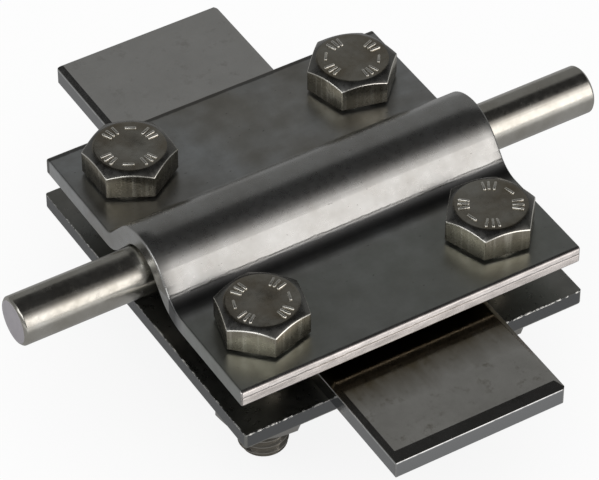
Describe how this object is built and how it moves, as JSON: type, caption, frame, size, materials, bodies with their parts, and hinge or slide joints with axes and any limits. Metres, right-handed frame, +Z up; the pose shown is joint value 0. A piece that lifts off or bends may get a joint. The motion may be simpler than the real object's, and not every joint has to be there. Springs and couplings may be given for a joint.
{
  "type": "cross clamp block",
  "caption": "Stainless cross clamp: a flat plate and a beaded plate, bolted at the corners, hold a round bar across a flat strip.",
  "frame": {"origin": "middle of the lower plate's underside", "axes": "+X along the round conductor, +Y along the flat conductor towards its longer free end, +Z up through the plates towards the bolt heads"},
  "size_m": [0.1026, 0.103, 0.0322],
  "materials": {
    "sheared_plate": "dark satin mill finish with sheared edges",
    "folded_plate": "satin mill finish, bright and scuffed on the bead",
    "drawn_bar": "drawn, faintly speckled",
    "rolled_strip": "rolled, fine scratches",
    "bolt_steel": "forged, brownish grey",
    "nut_steel": "forged, grey"
  },
  "bodies": {
    "lower_clamp": {"lower_plate": "sheared_plate", "nut_rear_left": "nut_steel", "nut_rear_right": "nut_steel", "nut_front_left": "nut_steel", "nut_front_right": "nut_steel"},
    "upper_clamp": {"upper_plate": "folded_plate"},
    "round_bar": {"round_conductor": "drawn_bar"},
    "flat_bar": {"flat_conductor": "rolled_strip"},
    "bolt_rear_left": {"bolt_rear_left": "bolt_steel"},
    "bolt_rear_right": {"bolt_rear_right": "bolt_steel"},
    "bolt_front_left": {"bolt_front_left": "bolt_steel"},
    "bolt_front_right": {"bolt_front_right": "bolt_steel"}
  },
  "joints": [
    {"name": "clamp_opening", "type": "slide", "parent": "lower_clamp", "child": "upper_clamp", "axis": [0, 0, 1], "range_m": [0, 0.00625]},
    {"name": "round_conductor_slide", "type": "slide", "parent": "lower_clamp", "child": "round_bar", "axis": [1, 0, 0], "range_m": [-0.018, 0.018]},
    {"name": "flat_conductor_slide", "type": "slide", "parent": "lower_clamp", "child": "flat_bar", "axis": [0, 1, 0], "range_m": [-0.018, 0.018]},
    {"name": "bolt_rear_left_turn", "type": "hinge", "parent": "upper_clamp", "child": "bolt_rear_left", "pos_m": [-0.02025, 0.0204, 0.0113], "axis": [0, 0, 1], "range_deg": [0, 1800]},
    {"name": "bolt_rear_right_turn", "type": "hinge", "parent": "upper_clamp", "child": "bolt_rear_right", "pos_m": [0.02025, 0.0204, 0.0113], "axis": [0, 0, 1], "range_deg": [0, 1800]},
    {"name": "bolt_front_left_turn", "type": "hinge", "parent": "upper_clamp", "child": "bolt_front_left", "pos_m": [-0.02025, -0.0196, 0.0113], "axis": [0, 0, 1], "range_deg": [0, 1800]},
    {"name": "bolt_front_right_turn", "type": "hinge", "parent": "upper_clamp", "child": "bolt_front_right", "pos_m": [0.02025, -0.0196, 0.0113], "axis": [0, 0, 1], "range_deg": [0, 1800]}
  ],
  "couplings": [
    {"joint": "bolt_rear_left_turn", "follows": "clamp_opening", "rad_per_m": 5026.5},
    {"joint": "bolt_rear_right_turn", "follows": "clamp_opening", "rad_per_m": 5026.5},
    {"joint": "bolt_front_left_turn", "follows": "clamp_opening", "rad_per_m": 5026.5},
    {"joint": "bolt_front_right_turn", "follows": "clamp_opening", "rad_per_m": 5026.5}
  ]
}
